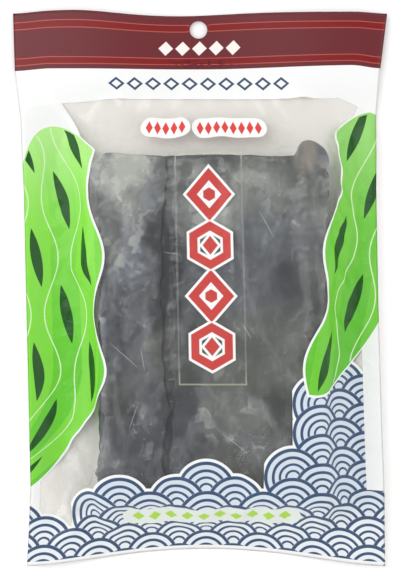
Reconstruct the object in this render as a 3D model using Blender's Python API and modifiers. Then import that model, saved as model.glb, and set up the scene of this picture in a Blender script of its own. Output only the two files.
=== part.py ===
"""Clear sealed bag of dried kelp, lying on its back.

The bag is one piece of film: a flat header with a round hang hole, a pouch that
stands up over the stack of kelp inside, and a flat bottom seal. It is modelled as
one closed solid out to the film's outer face. Metres, +Z up, +Y towards the header.
The origin is on the surface that the bag lies on, under the middle of its outline.
"""

import math

import bpy
import numpy as np

# ---------------------------------------------------------------- driving sizes
BAG_WIDTH = 0.171  # across the flat header
BAG_LENGTH = 0.253  # header edge to the bottom corners
SEAL_THICKNESS = 0.0008  # two fused films, drawn thick enough to be a solid
POUCH_HEIGHT = 0.0185  # top of the pouch above the surface it lies on

HANG_HOLE_DIAMETER = 0.008
HANG_HOLE_CENTRE = (-0.0007, 0.1180)
HANG_HOLE_SIDES = 32

# The kelp stack inside, which gives the pouch its plateau.
STACK_LEFT = -0.049
STACK_RIGHT = 0.058
STACK_BOTTOM = -0.098
STACK_TOP = 0.062
STACK_CORNER = 0.012

# Where the two films come together, as distances along the flat film.
HEADER_FOOT = 0.088
BOTTOM_SEAL = -0.118

# The outline, read from the header down: (y, half width, sideways shift).
OUTLINE = (
    (0.1265, 0.0855, 0.0000),
    (0.1000, 0.0834, -0.0013),
    (0.0780, 0.0813, -0.0008),
    (0.0450, 0.0803, 0.0000),
    (-0.0050, 0.0802, 0.0010),
    (-0.0600, 0.0804, 0.0025),
    (-0.0900, 0.0806, 0.0034),
    (-0.1265, 0.0817, 0.0028),
)
BOTTOM_DRAW_IN = 0.0080  # the filled pouch pulls the middle of the bottom edge up
TOP_EDGE_WAVE = 0.0012  # and the header's curl makes its top edge wavy
TOP_EDGE_PITCH = 0.120
TOP_EDGE_CREST = -0.050

# Heights of the film's lower face above the surface.
SIDE_FOLD_LIFT = 0.0050
BOTTOM_CORNER_LIFT = 0.0040
HEADER_LIFT = 0.0012
HEADER_CURL = 0.0022
HEADER_CURL_PITCH = 0.118

CELLS_ACROSS = 34
CELLS_ALONG = 50

FILM_COLOUR = (0.80, 0.82, 0.80, 1.0)


def smooth_step(value, low, high):
    """0 below low, 1 above high, and 3s^2 - 2s^3 of the share s of the way between."""
    share = np.clip((value - low) / (high - low), 0.0, 1.0)
    return share * share * (3.0 - 2.0 * share)


def outline_at(y):
    """(half width, sideways shift) of the bag at height y along it."""
    stations = np.array(OUTLINE[::-1])
    half = np.interp(y, stations[:, 0], stations[:, 1])
    shift = np.interp(y, stations[:, 0], stations[:, 2])
    return half, shift


def footprint(across, along):
    """Place on the surface of a point of the flat film, across in -1..1, along in 0..1."""
    half_length = BAG_LENGTH / 2
    y = -half_length + BAG_LENGTH * along
    half, shift = outline_at(y)
    x = shift + half * across
    near_bottom = 1.0 - smooth_step(along, 0.0, 0.30)
    near_top = smooth_step(along, 0.72, 1.0)
    draw_in = BOTTOM_DRAW_IN * np.cos(across * math.pi / 2) ** 1.5 * near_bottom
    wave = TOP_EDGE_WAVE * np.cos(2 * math.pi * (x - TOP_EDGE_CREST) / TOP_EDGE_PITCH)
    return x, y + draw_in + wave * near_top


def lower_lift(across, along, x):
    """Height of the lower face: flat under the stack, lifted at the folds and seals."""
    flat_y = BAG_LENGTH * (along - 0.5)
    in_pouch = smooth_step(flat_y, BOTTOM_SEAL, BOTTOM_SEAL + 0.030)
    in_pouch = in_pouch * (1.0 - smooth_step(flat_y, HEADER_FOOT - 0.030, HEADER_FOOT))
    side = SIDE_FOLD_LIFT * smooth_step(np.abs(across), 0.78, 1.0) ** 1.5 * in_pouch
    in_header = smooth_step(flat_y, HEADER_FOOT - 0.018, HEADER_FOOT + 0.010)
    curl = 0.5 + 0.5 * np.cos(2 * math.pi * (x - TOP_EDGE_CREST) / HEADER_CURL_PITCH)
    header = in_header * (HEADER_LIFT + HEADER_CURL * curl)
    in_seal = 1.0 - smooth_step(flat_y, BOTTOM_SEAL - 0.008, BOTTOM_SEAL + 0.030)
    corner = BOTTOM_CORNER_LIFT * smooth_step(np.abs(across), 0.35, 1.0) * in_seal
    return side + header + corner


def thickness(across, along, x, y):
    """Pouch thickness: the stack's plateau with flanks that fall to the folds and seals."""
    flat_y = BAG_LENGTH * (along - 0.5)
    corner = STACK_CORNER
    beyond_x = np.maximum(np.maximum(STACK_LEFT + corner - x, x - STACK_RIGHT + corner), 0.0)
    beyond_y = np.maximum(np.maximum(STACK_BOTTOM + corner - y, y - STACK_TOP + corner), 0.0)
    outside = np.maximum(np.hypot(beyond_x, beyond_y) - corner, 0.0)
    half, _ = outline_at(flat_y)
    to_side = half * (1.0 - np.abs(across))
    to_top = np.maximum(HEADER_FOOT - flat_y, 0.0)
    to_bottom = np.maximum(flat_y - BOTTOM_SEAL, 0.0)
    to_edge = np.minimum(np.minimum(to_side, to_top), to_bottom)
    share = to_edge / np.maximum(to_edge + outside, 1e-6)
    fullness = np.sin(share * math.pi / 2)
    crown = 1.0 - 0.05 * np.clip(np.abs(across), 0.0, 1.0) ** 2
    return SEAL_THICKNESS + (POUCH_HEIGHT - SEAL_THICKNESS) * fullness * crown


def clear_scene():
    for old in list(bpy.data.objects):
        bpy.data.objects.remove(old, do_unlink=True)


def new_collection(name):
    collection = bpy.data.collections.new(name)
    bpy.context.scene.collection.children.link(collection)
    return collection


def move_to(collection, obj):
    for holder in list(obj.users_collection):
        holder.objects.unlink(obj)
    collection.objects.link(obj)


def film_material():
    material = bpy.data.materials.new("printed_film")
    material.use_nodes = True
    shader = material.node_tree.nodes["Principled BSDF"]
    shader.inputs["Base Color"].default_value = FILM_COLOUR
    shader.inputs["Roughness"].default_value = 0.25
    shader.inputs["Metallic"].default_value = 0.0
    return material


def bag(collection):
    """The bag: a grid shaped as the lower film, thickened upwards by a weight per vertex."""
    bpy.ops.mesh.primitive_grid_add(
        x_subdivisions=CELLS_ACROSS, y_subdivisions=CELLS_ALONG, size=1.0
    )
    film = bpy.context.object
    film.name = "bag"
    film.data.name = "bag"
    move_to(collection, film)

    flat = np.empty(len(film.data.vertices) * 3, np.float32)
    film.data.vertices.foreach_get("co", flat)
    flat = flat.reshape(-1, 3).astype(float)
    across = flat[:, 0] * 2.0
    along = flat[:, 1] + 0.5
    x, y = footprint(across, along)
    z = lower_lift(across, along, x)
    thick = thickness(across, along, x, y)
    x -= (x.max() + x.min()) / 2
    y -= (y.max() + y.min()) / 2
    placed = np.stack([x, y, z], axis=1).astype(np.float32)
    film.data.vertices.foreach_set("co", placed.ravel())

    fullness = film.vertex_groups.new(name="fullness")
    for index, value in enumerate(thick / POUCH_HEIGHT):
        fullness.add([index], float(value), "REPLACE")
    wall = film.modifiers.new("pouch", "SOLIDIFY")
    wall.thickness = POUCH_HEIGHT
    wall.offset = 1.0
    wall.vertex_group = "fullness"
    wall.thickness_vertex_group = 0.0
    film.data.materials.append(film_material())
    return film


def punch_hang_hole(film, cutters):
    bpy.ops.mesh.primitive_cylinder_add(
        vertices=HANG_HOLE_SIDES,
        radius=HANG_HOLE_DIAMETER / 2,
        depth=0.03,
        location=(*HANG_HOLE_CENTRE, 0.0),
    )
    punch = bpy.context.object
    punch.name = "hang_hole_punch"
    punch.hide_render = True
    punch.display_type = "WIRE"
    move_to(cutters, punch)
    hole = film.modifiers.new("hang_hole", "BOOLEAN")
    hole.operation = "DIFFERENCE"
    hole.object = punch


def main():
    clear_scene()
    parts = new_collection("kelp_bag")
    cutters = new_collection("cutters")
    film = bag(parts)
    punch_hang_hole(film, cutters)
    film.data.shade_smooth()


main()
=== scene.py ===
"""Looks of a sealed film bag of dried kelp, built round its packed CAD solid."""

# %% [markdown]
# # A sealed bag of dried kelp
#
# The real object is one pouch of thin film, clear and printed on its front, opaque on
# its back, with a maroon header that has a round hang hole. Inside lies a stack of dried
# kelp blades. The CAD model holds it as one closed solid. Here that solid is replaced by
# what it stands for: the film, as a thin closed pouch, and the blades inside it.
#
# The first cell loads the packed frame. Lengths are in metres, as the frame's are, and
# `MM` turns millimetres into them. Where plain millimetres are easier to read, as in the
# print, the text says so.

# %% Load the frame
import math

import bpy
import numpy as np
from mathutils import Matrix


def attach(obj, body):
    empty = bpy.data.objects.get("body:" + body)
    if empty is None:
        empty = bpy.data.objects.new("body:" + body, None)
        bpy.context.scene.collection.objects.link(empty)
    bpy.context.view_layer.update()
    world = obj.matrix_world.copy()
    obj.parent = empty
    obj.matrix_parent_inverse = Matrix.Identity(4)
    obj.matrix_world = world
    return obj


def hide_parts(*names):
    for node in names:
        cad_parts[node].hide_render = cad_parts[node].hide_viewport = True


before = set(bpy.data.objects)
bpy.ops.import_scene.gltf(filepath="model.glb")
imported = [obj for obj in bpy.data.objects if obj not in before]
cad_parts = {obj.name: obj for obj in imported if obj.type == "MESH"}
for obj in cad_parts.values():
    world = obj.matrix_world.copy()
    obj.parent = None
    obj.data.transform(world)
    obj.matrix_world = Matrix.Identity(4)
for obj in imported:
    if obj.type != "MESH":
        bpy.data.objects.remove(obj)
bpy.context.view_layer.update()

MM = 0.001
print("CAD nodes:", sorted(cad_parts))

# %% [markdown]
# ## Small helpers for shapes
#
# Almost every shape below is a smooth blend between two states, or a surface that rolls
# a little. `ease` is the blend: it goes from 0 to 1 without a kink. `rolling` is the
# roll. It could come from a noise texture, but a sum of a few sine waves with seeded
# directions and phases is cheap and smooth, and gives the same numbers in each run.


# %% Blends and rolling surfaces
MOST_TURNS = 1.3


def ease(value, start, end):
    """0 before start, 1 after end, and 3s^2 - 2s^3 of the share s of the way between."""
    share = np.clip((value - start) / (end - start), 0.0, 1.0)
    return share * share * (3.0 - 2.0 * share)


def rolling(x, y, pitch, seed, waves=7):
    """Sum of sine waves of about the given pitch along x and y, from about -1 to 1.

    Wave k is sin(2 pi (p x / pitch_x + q y / pitch_y) + phase), with p and q drawn
    up to MOST_TURNS either way, and the sum is divided by the root of the number of waves.
    """
    draw = np.random.default_rng(seed)
    turns_x = draw.uniform(-MOST_TURNS, MOST_TURNS, waves) / pitch[0]
    turns_y = draw.uniform(-MOST_TURNS, MOST_TURNS, waves) / pitch[1]
    phases = draw.uniform(0, 2 * math.pi, waves)
    total = np.zeros(np.broadcast(x, y).shape)
    for p, q, phase in zip(turns_x, turns_y, phases):
        total = total + np.sin(2 * math.pi * (p * x + q * y) + phase)
    return total / math.sqrt(waves)


print("a blend in four steps:", ease(np.linspace(0, 1, 5), 0.0, 1.0).round(2).tolist())

# %% [markdown]
# ## Grids into meshes
#
# A surface that is a function of two parameters is an array of points, rows by columns.
# `grid_faces` joins each point to its neighbours. A closed shell, such as a blade or
# the pouch, is two such grids that share their outermost points, so no seam is open.


# %% Mesh makers
def grid_faces(index, flip=False):
    """Quads between neighbours in an array of point numbers, facing +Z unless flipped."""
    corners = [index[:-1, :-1], index[:-1, 1:], index[1:, 1:], index[1:, :-1]]
    if flip:
        corners.reverse()
    return np.stack(corners, axis=-1).reshape(-1, 4)


def shell_numbers(rows, columns):
    """Point numbers of an upper and a lower grid that share the points of their border."""
    upper = np.arange(rows * columns).reshape(rows, columns)
    lower = upper.copy()
    inner = (rows - 2) * (columns - 2)
    lower[1:-1, 1:-1] = rows * columns + np.arange(inner).reshape(rows - 2, columns - 2)
    return upper, lower


def shell_points(above, below):
    """One list of points in the order of shell_numbers: all of above, then below's inner ones."""
    size = above.shape[-1]
    return np.concatenate([above.reshape(-1, size), below[1:-1, 1:-1].reshape(-1, size)])


def new_piece(name, points, faces, materials, face_material=None):
    """A smooth-shaded mesh object at the origin, from arrays of points and faces."""
    mesh = bpy.data.meshes.new(name)
    mesh.from_pydata(points.tolist(), [], faces.tolist())
    for material in materials:
        mesh.materials.append(material)
    mesh.polygons.foreach_set("use_smooth", np.ones(len(mesh.polygons), bool))
    if face_material is not None:
        mesh.polygons.foreach_set("material_index", face_material.astype(np.int32))
    mesh.update()
    piece = bpy.data.objects.new(name, mesh)
    bpy.context.scene.collection.objects.link(piece)
    print(f"{name}: {len(points)} points, {len(faces)} faces")
    return piece


above, below = shell_numbers(3, 4)
print("a shell of 3 by 4:", below.max() + 1, "points and", 2 * len(grid_faces(above)), "quads")


# %% [markdown]
# ## Shader maths as sums
#
# A print on film is geometry in the plane: bands, lozenges, arcs. It is easier to read
# as `1 - mask * 0.5` than as a web of nodes, so one class wraps an output socket, and
# each operator on it adds the Math node that works it out.


# %% Wires
class Wire:
    """An output socket of a shader node that takes part in sums."""

    def __init__(self, paint, socket):
        self.paint = paint
        self.socket = socket

    def __add__(self, other):
        return self.paint.maths("ADD", self, other)

    def __sub__(self, other):
        return self.paint.maths("SUBTRACT", self, other)

    def __rsub__(self, other):
        return self.paint.maths("SUBTRACT", other, self)

    def __mul__(self, other):
        return self.paint.maths("MULTIPLY", self, other)

    def __truediv__(self, other):
        return self.paint.maths("DIVIDE", self, other)

    def __rtruediv__(self, other):
        return self.paint.maths("DIVIDE", other, self)

    def __abs__(self):
        return self.paint.maths("ABSOLUTE", self)

    __radd__, __rmul__ = __add__, __mul__

    def least(self, other):
        return self.paint.maths("MINIMUM", self, other)

    def most(self, other):
        return self.paint.maths("MAXIMUM", self, other)

    def power(self, exponent):
        return self.paint.maths("POWER", self, exponent)

    def sine(self):
        return self.paint.maths("SINE", self)

    def floor(self):
        return self.paint.maths("FLOOR", self)

    def clamped(self):
        return self.paint.maths("ADD", self, 0.0, clamp=True)

    def inside(self, soft=0.12):
        """1 where this distance is below 0 and 0 above it, over an edge of width soft."""
        return self.paint.maths("MULTIPLY_ADD", self, -1.0 / soft, 0.5, clamp=True)

    def between(self, start, end):
        """0 up to start and 1 from end on, along a smooth step."""
        sockets = {"Value": self, "From Min": start, "From Max": end}
        return self.paint.node("MapRange", {"interpolation_type": "SMOOTHSTEP"}, sockets)


print("named sums of a wire:", [name for name in vars(Wire) if not name.startswith("_")])

# %% [markdown]
# The other half of it is the tree that the nodes are in. `Paint.node` adds any node, with
# its settings first and the values or links of its sockets after. The methods below it
# are the nodes that this bag needs often. A colour goes through `blend`, a Mix node,
# because a Math node would turn it grey.


# %% Paint
class Paint:
    """A node tree under construction, of a material or of a world."""

    def __init__(self, owner):
        owner.use_nodes = True
        owner.node_tree.nodes.clear()
        self.owner = owner
        self.tree = owner.node_tree

    def node(self, kind, settings=None, sockets=None, out=0):
        """Adds the node ShaderNode + kind and returns its output of this number or name."""
        node = self.tree.nodes.new("ShaderNode" + kind)
        for name, value in (settings or {}).items():
            setattr(node, name, value)
        for name, value in (sockets or {}).items():
            if isinstance(value, Wire):
                self.tree.links.new(value.socket, node.inputs[name])
            else:
                node.inputs[name].default_value = value
        return Wire(self, node.outputs[out]) if node.outputs else None

    def maths(self, operation, *values, clamp=False):
        settings = {"operation": operation, "use_clamp": clamp}
        return self.node("Math", settings, dict(enumerate(values)))

    def parts(self, vector):
        """The x and y wires of a vector, or the red and green ones of a colour."""
        x = self.node("SeparateXYZ", {}, {"Vector": vector})
        return x, Wire(self, x.socket.node.outputs["Y"])

    def scaled(self, vector, factor):
        return self.node("VectorMath", {"operation": "SCALE"}, {0: vector, "Scale": factor})

    def mapped(self, vector, scale, turn=0.0, shift=(0.0, 0.0, 0.0)):
        """The vector scaled, then turned about Z, then shifted."""
        sockets = {"Scale": scale, "Rotation": (0.0, 0.0, turn), "Location": shift}
        return self.node("Mapping", {"vector_type": "POINT"}, {"Vector": vector, **sockets})

    def noise(self, vector, scale, detail, roughness=0.5, out=0):
        sockets = {"Vector": vector, "Scale": scale, "Detail": detail, "Roughness": roughness}
        return self.node("TexNoise", {}, sockets, out)

    def blend(self, mask, under, over):
        """Colour under, covered by colour over where the mask is 1."""
        return self.node("Mix", {"data_type": "RGBA"}, {0: mask, 6: under, 7: over}, out=2)

    def bumped(self, height, strength, distance):
        return self.node("Bump", {}, {"Strength": strength, "Distance": distance, "Height": height})

    def finish(self, surface, output="OutputMaterial"):
        """Joins the surface shader to the output, and returns the material or world."""
        self.node(output, {}, {"Surface": surface})
        print(f"{self.owner.name}: {len(self.tree.nodes)} nodes")
        return self.owner


def new_paint(name):
    return Paint(bpy.data.materials.new(name))


def screen(red, green, blue):
    """The linear colour, with alpha 1, of a colour given in 0-255 screen steps."""
    steps = np.array([red, green, blue]) / 255.0
    linear = np.where(steps <= 0.04045, steps / 12.92, ((steps + 0.055) / 1.055) ** 2.4)
    return (*linear.tolist(), 1.0)


print("middle grey on screen, in linear light:", round(screen(128, 128, 128)[0], 3))

# %% [markdown]
# ## The kelp
#
# Dried kelp is a leathery blade, one to two millimetres thick, cut to length and pressed
# into a stack. Its edges wander, its corners are rounded or torn, and it cockles as it
# dries. A blade could be cut from a plane with a noise texture, but here it is a
# four-sided outline whose sides are worked out by a formula: that gives clean edges, and
# the film can be laid on the same surface later.
#
# The outline works both ways. `place` goes from two shares, across and along the blade,
# to a place in plan, and `covers` goes back, to tell which places the blade lies over.

# %% A blade's outline
# The pitch and the share of each rolling line, and how much of the wander the ends take.
SIDE_WAVES = ((46 * MM, 1.0), (9 * MM, 0.45))
END_WAVES = ((52 * MM, 1.0), (8 * MM, 0.4))
END_WANDER = 0.5
# Just under 1, so that a corner's curve never stands square to its side.
CORNER_CURVE = 0.98
# A lobe's place, height, and width to the left and to the right.
NO_LOBE = (0.0, 0.0, 1.0, 1.0)


def wandering(along, waves, seeds):
    """A long rolling line and a short one, added up by their shares."""
    return sum(
        share * rolling(along, 0.0, (pitch, 1.0), seed)
        for (pitch, share), seed in zip(waves, seeds)
    )


class Blade:
    """One blade of kelp in plan: left, right, bottom and top, with wandering edges.

    Lengths are given in millimetres. A lobe is a torn end that stands out at the top.
    Each blade has ten seeds: 0 to 3 for the long waves of its sides and ends, and 4 to 7
    for their short ones.
    """

    def __init__(self, name, sides, height, seed, wander, corner, cockle, lobe=NO_LOBE):
        self.name = name
        self.sides = [side * MM for side in sides]
        self.height = height * MM
        self.seed = seed
        self.wander = wander * MM
        self.corner = corner * MM
        self.cockle = cockle * MM
        self.lobe = np.array(lobe) * MM

    def side(self, which, along, share):
        """The left or right side: it wanders, and at the corners follows a quarter circle."""
        left, right, bottom, top = self.sides
        from_end = np.minimum(share, 1.0 - share) * (top - bottom)
        short = np.clip(1.0 - from_end / self.corner, 0.0, 1.0)
        draw_in = self.corner * (1.0 - np.sqrt(1.0 - short**2 * CORNER_CURVE))
        seed = self.seed * 10 + which
        wave = self.wander * wandering(along, SIDE_WAVES, (seed, seed + 4))
        return (left + draw_in + wave) if which == 0 else (right - draw_in + wave)

    def end(self, which, across):
        """The bottom or top end: less wander than the sides, and the lobe at the top.

        The lobe's left flank is steep, 1 - d^4 of its share d of the width, and its right
        one is a parabola, 1 - d^2.
        """
        _, _, bottom, top = self.sides
        seed = self.seed * 10 + 2 + which
        wave = END_WANDER * self.wander * wandering(across, END_WAVES, (seed, seed + 4))
        place, height, left_width, right_width = self.lobe
        d = across - place
        fall = np.where(d < 0.0, (d / left_width) ** 4, (d / right_width) ** 2)
        lobe = height * np.clip(1.0 - fall, 0.0, 1.0)
        return (bottom + wave) if which == 0 else (top + wave + lobe)

    def place(self, s, t):
        """Plan position at share s from left to right and share t from bottom to top."""
        _, _, bottom, top = self.sides
        along = bottom + (top - bottom) * t
        left, right = self.side(0, along, t), self.side(1, along, t)
        x = left + (right - left) * s
        low_end, high_end = self.end(0, x), self.end(1, x)
        return x, low_end + (high_end - low_end) * t

    def covers(self, x, y):
        """True at the plan positions that the blade lies over: place, worked backwards."""
        _, _, bottom, top = self.sides
        low_end, high_end = self.end(0, x), self.end(1, x)
        t = (y - low_end) / (high_end - low_end)
        along = bottom + (top - bottom) * t
        inner = np.clip(t, 0.0, 1.0)
        left, right = self.side(0, along, inner), self.side(1, along, inner)
        return (t > 0) & (t < 1) & (x > left) & (x < right)


print("pitches of a side's waves in mm:", [round(pitch / MM) for pitch, _ in SIDE_WAVES])

# %% [markdown]
# A blade's height is a broad swell with ridges, folds and fine ripples on it. The shell
# is that height plus and minus half of the thickness, which thins to nothing over the
# last 0.9 mm along a quarter circle, so the edge is round. The grid lines crowd towards
# the edges to draw that rounding with few faces.

# %% A blade's height and shell
BLADE_THICKNESS = 1.5 * MM
EDGE_ROUNDING = 0.9 * MM
BLADE_CELL, FEWEST_LINES = 1.2 * MM, 8
# Pitch across and along, what is added to the blade's seed, and the share of the cockle.
SWELL = ((44 * MM, 60 * MM), 80, 0.9)
RIDGES = ((28 * MM, 80 * MM), 50, 0.2)
FOLDS = ((30 * MM, 42 * MM), 140, 0.25)
RIPPLES = ((6 * MM, 14 * MM), 110, 0.1)
RIDGE_TOP = 0.6
CROWDING = 0.085


def middle_height(blade, x, y):
    """Height of the blade's middle: smooth waves, and ridges that are RIDGE_TOP - |waves|."""
    total = 0.0
    for waves, ridged in ((SWELL, False), (RIDGES, True), (FOLDS, True), (RIPPLES, False)):
        pitch, seed, share = waves
        wave = rolling(x, y, pitch, blade.seed + seed)
        total = total + share * (RIDGE_TOP - np.abs(wave) if ridged else wave)
    return blade.height + blade.cockle * total


def crowded(count):
    """Numbers from 0 to 1, closer together near both ends: t - CROWDING sin(2 pi t)."""
    even = np.linspace(0.0, 1.0, count)
    return even - CROWDING * np.sin(2 * math.pi * even)


def blade_shell(blade, material):
    """The closed shell: middle height plus and minus half of the rounded thickness."""
    left, right, bottom, top = blade.sides
    width, length = right - left, top - bottom
    columns, rows = (max(FEWEST_LINES, int(size / BLADE_CELL)) for size in (width, length))
    s, t = np.meshgrid(crowded(columns), crowded(rows))
    x, y = blade.place(s, t)
    to_side = np.minimum(np.minimum(s, 1 - s) * width, np.minimum(t, 1 - t) * length)
    edge = np.clip(to_side / EDGE_ROUNDING, 0.0, 1.0)
    half = BLADE_THICKNESS / 2 * np.sqrt(1.0 - (1.0 - edge) ** 2)
    middle = middle_height(blade, x, y)
    above = np.stack([x, y, middle + half], axis=-1)
    below = np.stack([x, y, middle - half], axis=-1)
    upper, lower = shell_numbers(rows, columns)
    faces = np.concatenate([grid_faces(upper), grid_faces(lower, flip=True)])
    return new_piece(blade.name, shell_points(above, below), faces, [material])


print("a blade is", BLADE_THICKNESS / MM, "mm thick, drawn in cells of", BLADE_CELL / MM, "mm")

# %% [markdown]
# The stack: eight blades that show only at its sides, each slipped a little from the
# last, and four at the front. The gap between the two front blades is the dark groove
# down the left of the stack, and the right one's torn end stands out at its top. The
# edge of one blade looks past the front at the left, and a short one props the right.

# %% The blades of the stack
LAYERS, LOWEST_LAYER, LAYER_PITCH = 8, 1.1, 1.5
LAYER_SIDES = np.array([-44.8, 56.4, -96.0, 59.0])
LAYER_SHAPE = {"wander": 0.8, "corner": 5.0, "cockle": 0.16}
FIRST_LAYER_SEED, PLACING_SEED = 20, 11
SLIP = 1.4
TORN_END = (48.4, 6.8, 5.8, 10.0)
FRONT_BLADES = (
    # name, (left, right, bottom, top), height, seed, wander, corner, cockle, lobe
    ("kelp_stub", (43.8, 57.6, 20.0, 60.5), 12.9, 35, 1.5, 4.5, 0.2, NO_LOBE),
    ("kelp_shoulder", (-50.0, -20.0, 8.0, 57.2), 12.9, 37, 0.7, 2.5, 0.2, NO_LOBE),
    ("kelp_front_left", (-44.6, -15.9, -96.5, 60.2), 14.1, 60, 1.3, 2.5, 0.55, NO_LOBE),
    ("kelp_front_right", (-12.9, 57.0, -97.0, 59.6), 14.2, 18, 1.3, 2.5, 0.55, TORN_END),
)
placing = np.random.default_rng(PLACING_SEED)
blades = []
for layer in range(LAYERS):
    sides = LAYER_SIDES + placing.uniform(-SLIP, SLIP, 4)
    height = LOWEST_LAYER + LAYER_PITCH * layer
    name = f"kelp_blade_{layer + 1}"
    blades.append(Blade(name, sides, height, FIRST_LAYER_SEED + layer, **LAYER_SHAPE))
blades.extend(Blade(*row) for row in FRONT_BLADES)
highest = max(blade.height for blade in blades)
print(len(blades), "blades, the highest with its middle at", round(highest / MM, 1), "mm")

# %% [markdown]
# ## The kelp's finish
#
# The kelp is matt and nearly black, with olive and grey in it, under a thin pale bloom:
# the salt and sugar that dry out on the blade. The bloom could be painted by hand, but
# it is built from patterns here, on Object coordinates, because each blade lies where it
# was worked out and is never moved.
#
# The patterns: cells with soft borders in two sizes, clouds, and fine streaks along the
# blade. The coordinates are first pushed about by a noise, so the cells have no straight
# sides. Each cell's own random colour also gives it a slight cast of its own.

# %% Patterns on the kelp
PUSH_DISTANCE = 0.03
HALF = (0.5, 0.5, 0.5)
# The scale, detail and roughness of a noise.
PUSH_NOISE = (50.0, 3.0, 0.55)
# A pattern's stretch along the blade and its turn, then the cells' scale and softness.
PATCHES, SCRAPS = (0.7, 0.25, 66.0, 0.4), (0.75, -0.3, 190.0, 0.3)
# A pattern's stretch along the blade, then the noise's scale, detail and roughness.
STREAKS, GRAIN = (0.3, 190.0, 3.0, 0.6), (0.5, 1400.0, 2.0, 0.5)


def pushed_about(paint, where):
    """The place plus a noise's colour, less a half of each, times the push distance."""
    swirl = paint.noise(where, *PUSH_NOISE, out="Color")
    swirl = paint.node("VectorMath", {"operation": "SUBTRACT"}, {0: swirl, 1: HALF})
    push = paint.scaled(swirl, PUSH_DISTANCE)
    return paint.node("VectorMath", {"operation": "ADD"}, {0: where, 1: push})


def soft_cells(paint, place, stretch, turn, scale, softness):
    """Two random numbers for each cell of a Voronoi pattern with soft borders."""
    place = paint.mapped(place, (1.0, stretch, 1.0), turn)
    sockets = {"Vector": place, "Scale": scale, "Smoothness": softness, "Randomness": 1.0}
    return paint.parts(paint.node("TexVoronoi", {"feature": "SMOOTH_F1"}, sockets, out="Color"))


def long_noise(paint, place, stretch, *noise):
    """A noise whose marks are drawn out along the blade."""
    return paint.noise(paint.mapped(place, (1.0, stretch, 1.0)), *noise)


def soft_spot(paint, vector, centre, half_size):
    """1 in the middle of an oval and 0 outside: the length of (place - centre) / half size."""
    size, middle = np.array(half_size) * MM, np.array(centre) * MM
    local = paint.mapped(vector, (*(1.0 / size), 0.0), shift=(*(-middle / size), 0.0))
    length = paint.node("VectorMath", {"operation": "LENGTH"}, {0: local}, out="Value")
    return length.between(1.0, 0.0)


print("the patterns are pushed about by up to", PUSH_DISTANCE / 2 / MM, "mm")

# %% [markdown]
# Bloom isn't even over a stack. `BLOOM_GLARE_AND_SHADE_SPOTS` says where the kelp is paler
# or darker: paler towards the stack's upper left, which is partly bloom and partly the
# film's glare painted in, and darker down the groove between the front blades, which is
# painted shade. `CONTRAST_SPOTS` says where the patches stand out or fade into each other.
# Where the bloom is thickest it has dried to a pale crust. Squaring the amount keeps the
# dark ground open.

# %% The bloom
BLOOM_GLARE_AND_SHADE_SPOTS = (
    # centre, half width and height, all in millimetres, and how much paler the kelp gets there,
    # below 0 darker
    # the first two: bloom, and painted glare of the film at the stack's upper left
    ((-34.0, 50.0), (23.0, 22.0), 1.25),
    ((-25.0, 54.0), (12.0, 11.0), 1.1),
    ((-27.0, 24.0), (8.0, 15.0), 0.25),
    ((-2.0, 52.0), (10.0, 9.0), 0.5),
    ((-38.0, 20.0), (18.0, 33.0), 0.5),
    ((-24.0, -8.0), (10.0, 30.0), 0.25),
    ((17.5, 42.0), (5.0, 15.0), 0.4),
    ((26.0, 41.0), (36.0, 25.0), 0.45),
    ((20.0, -56.0), (8.0, 11.0), 0.2),
    ((-27.0, -63.0), (8.0, 16.0), 0.2),
    ((-38.0, -44.0), (11.0, 30.0), -0.35),
    # painted shade down the groove between the two front blades
    ((-15.5, 8.0), (10.0, 36.0), -0.9),
    ((46.0, 2.0), (16.0, 32.0), -0.35),
    ((28.0, -44.0), (24.0, 28.0), -0.2),
)
CONTRAST_SPOTS = (
    ((28.0, -15.0), (44.0, 58.0), -0.55),
    ((-34.0, 8.0), (22.0, 66.0), 0.4),
)
CLOUD_NOISE, CLOUD_RANGE, STREAK_RANGE = (36.0, 5.0, 0.62), (0.3, 0.7), (0.35, 0.75)
PATCH_BLOOM, SCRAP_BLOOM, CLOUD_BLOOM, STREAK_BLOOM = 0.42, 0.2, 0.34, 0.14
MIDDLING, BLOOM_EVERYWHERE = 0.55, 0.1
SCRAP_CRUST, PATCH_CRUST, STREAK_CRUST = 0.5, 0.4, 0.2
CRUST_START, CRUST_GAIN = 1.5, 1.3


def bloom_and_crust(paint, where, pushed, patches, scraps, streaks):
    """Shares of bloom and crust: weighted patterns and spots, squared, and what is over a start."""
    clouds = paint.noise(where, *CLOUD_NOISE).between(*CLOUD_RANGE)
    cloudy = patches * PATCH_BLOOM + scraps * SCRAP_BLOOM + clouds * CLOUD_BLOOM
    cloudy = cloudy + streaks.between(*STREAK_RANGE) * STREAK_BLOOM - MIDDLING
    contrast = 1.0
    for centre, half_size, change in CONTRAST_SPOTS:
        contrast = soft_spot(paint, where, centre, half_size) * change + contrast
    cloudy = cloudy * contrast + MIDDLING + BLOOM_EVERYWHERE
    # the spots add bloom, painted glare at the upper left and painted shade in the groove
    for centre, half_size, change in BLOOM_GLARE_AND_SHADE_SPOTS:
        cloudy = cloudy + soft_spot(paint, pushed, centre, half_size) * change
    crust = cloudy + scraps * SCRAP_CRUST + patches * PATCH_CRUST + streaks * STREAK_CRUST
    crust = (crust - CRUST_START) * CRUST_GAIN
    bloom = cloudy.clamped()
    return bloom * bloom, crust.clamped()


print(len(BLOOM_GLARE_AND_SHADE_SPOTS), "spots with more bloom or less")

# %% [markdown]
# The dark kelp and the pale bloom each come in two casts, blue-grey and olive, and at the
# torn end of the front blade both turn brown, as kelp does where it was wet again.

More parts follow.
